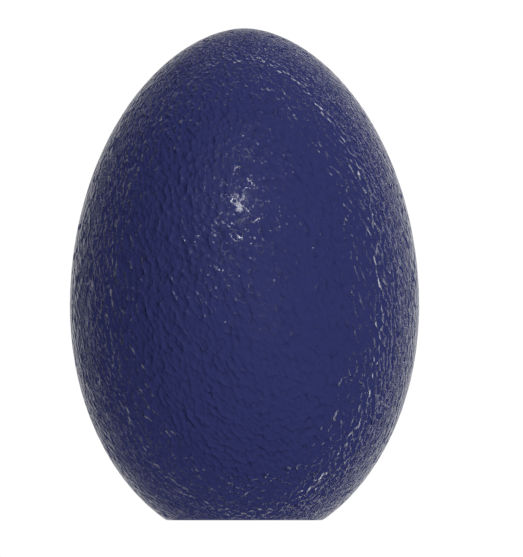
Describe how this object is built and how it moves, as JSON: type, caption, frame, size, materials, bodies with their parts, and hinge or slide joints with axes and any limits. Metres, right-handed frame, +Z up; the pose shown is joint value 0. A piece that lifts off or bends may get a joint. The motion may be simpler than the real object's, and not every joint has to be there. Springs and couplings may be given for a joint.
{
  "type": "egg",
  "caption": "Large bird's egg with a pebbled, glossy indigo shell, standing pointed end up on a small flat ground on its blunt end.",
  "frame": {"origin": "centre of the flat that the egg rests on", "axes": "+Z up along the egg's axis to the pointed tip; X and Y are alike"},
  "size_m": [0.09, 0.09, 0.1268],
  "materials": {
    "shell": "deep indigo, glossy, fine leathery pebbling with scattered shallow pores"
  },
  "bodies": {
    "root": {"egg": "shell"}
  },
  "joints": []
}
